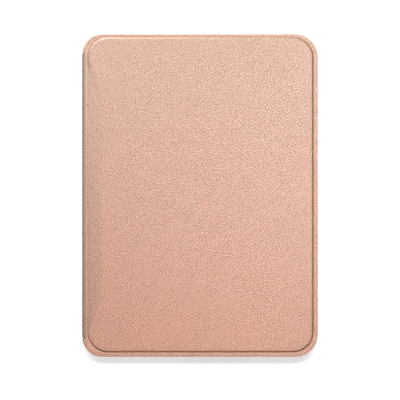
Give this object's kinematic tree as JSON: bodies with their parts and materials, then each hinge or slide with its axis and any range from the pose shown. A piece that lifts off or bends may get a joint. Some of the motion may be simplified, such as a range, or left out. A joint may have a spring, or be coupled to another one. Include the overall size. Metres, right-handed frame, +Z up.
{
  "type": "tablet computer in a folio case",
  "caption": "Slim reading tablet with an e-paper screen in a closed leather folio case with a raised panel, pressed edge and folding spine.",
  "frame": {"origin": "on the surface it lies on, under the middle of the case's box", "axes": "+Z up out of the front cover, +Y to the top of the page, +X to the right of the page, spine at -X"},
  "size_m": [0.131, 0.179, 0.0121],
  "materials": {
    "rose_leather": "satin",
    "lining_microfibre": "matte",
    "tray_plastic": "satin",
    "stiff_board": "matte",
    "housing_plastic": "matte",
    "frame_metal": "satin",
    "screw_steel": "satin",
    "magnet_nickel": "polished",
    "lens_glass": "satin",
    "border_black": "matte",
    "gasket_rubber": "matte",
    "clear_film": "gloss",
    "epaper": "matte",
    "foam": "matte",
    "flex_film": "gloss",
    "board_green": "gloss",
    "chip_black": "matte",
    "shield_tin": "satin",
    "connector_ivory": "matte",
    "battery_foil": "satin",
    "tape_white": "matte",
    "lead_red": "satin",
    "seal_silicone": "matte",
    "light_clear": "gloss"
  },
  "bodies": {
    "base": {"back_leather": "rose_leather", "lower_fold": "rose_leather", "tray": "tray_plastic", "tray_lining": "lining_microfibre", "rear_housing": "housing_plastic", "mid_frame": "frame_metal", "frame_screws": "screw_steel", "cover_lens": "lens_glass", "lens_border": "border_black", "perimeter_gasket": "gasket_rubber", "bonding_film": "clear_film", "touch_film": "clear_film", "light_guide": "clear_film", "led_strip": "flex_film", "display_panel": "epaper", "display_foam": "foam", "display_flex": "flex_film", "main_board": "board_green", "board_chips": "chip_black", "board_shields": "shield_tin", "board_connectors": "connector_ivory", "board_screws": "screw_steel", "battery": "battery_foil", "battery_tape": "tape_white", "battery_lead": "lead_red", "usb_shell": "shield_tin", "usb_tongue": "chip_black", "port_seal": "seal_silicone", "button_switch": "shield_tin", "button_bracket": "frame_metal", "light_pipe": "light_clear", "wifi_antenna": "flex_film", "hall_sensor": "chip_black", "frame_magnets": "magnet_nickel"},
    "spine": {"spine_leather": "rose_leather", "spine_board": "stiff_board", "spine_lining": "lining_microfibre", "upper_fold": "rose_leather"},
    "cover": {"cover_leather": "rose_leather", "cover_board": "stiff_board", "cover_lining": "lining_microfibre", "cover_magnets": "magnet_nickel"},
    "power_button": {"power_button": "housing_plastic"}
  },
  "joints": [
    {"name": "spine_hinge", "type": "hinge", "parent": "base", "child": "spine", "pos_m": [-0.0651, 0, 0.0004], "axis": [0, -1, 0], "range_deg": [0, 84.7]},
    {"name": "cover_hinge", "type": "hinge", "parent": "spine", "child": "cover", "pos_m": [-0.0651, 0, 0.01075], "axis": [0, -1, 0], "range_deg": [0, 95.3]},
    {"name": "button_press", "type": "slide", "parent": "base", "child": "power_button", "axis": [0, 1, 0], "range_m": [0, 0.0003], "stiffness_N_per_m": 300, "springref_m": -0.0001}
  ]
}
